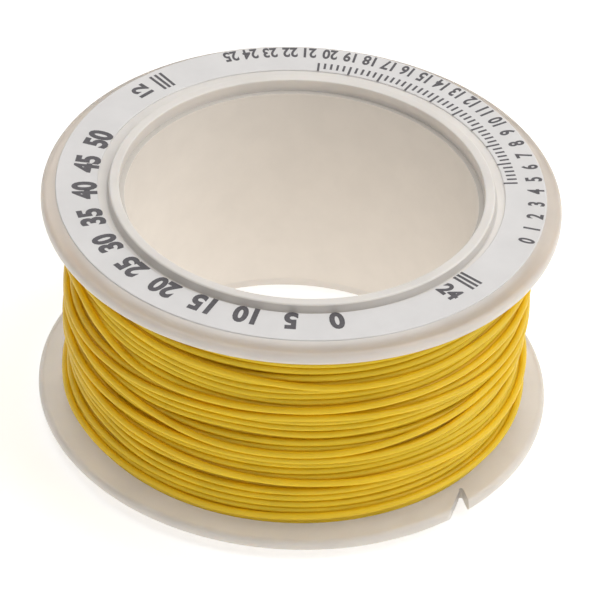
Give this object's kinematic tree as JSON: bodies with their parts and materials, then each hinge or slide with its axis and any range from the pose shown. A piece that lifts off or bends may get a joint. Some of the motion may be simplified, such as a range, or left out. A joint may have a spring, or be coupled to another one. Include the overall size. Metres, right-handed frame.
{
  "type": "wire spool",
  "caption": "Small open-bore moulded spool with a paper ring label, wound with fine insulated hook-up wire.",
  "frame": {"origin": "on the bore axis, at the end face of the lower collar on which the spool stands", "axes": "+Z along the bore axis towards the labelled flange, -Y towards the camera of the picture"},
  "size_m": [0.0382, 0.0382, 0.0195],
  "materials": {
    "flange_plastic": "moulded, slightly translucent",
    "core_plastic": "moulded, satin",
    "label_paper": "smooth printed paper",
    "wire_insulation": "glossy extruded insulation",
    "wire_conductor": "silver-plated copper"
  },
  "bodies": {
    "root": {"upper_flange": "flange_plastic", "lower_flange": "flange_plastic", "core_tube": "core_plastic", "label": "label_paper", "wire_course_1": "wire_insulation", "wire_course_2": "wire_insulation", "wire_course_3": "wire_insulation", "wire_course_4": "wire_insulation", "wire_course_5": "wire_insulation", "wire_course_6": "wire_insulation", "wire_end_insulation": "wire_insulation", "wire_end_conductor": "wire_conductor"}
  },
  "joints": []
}
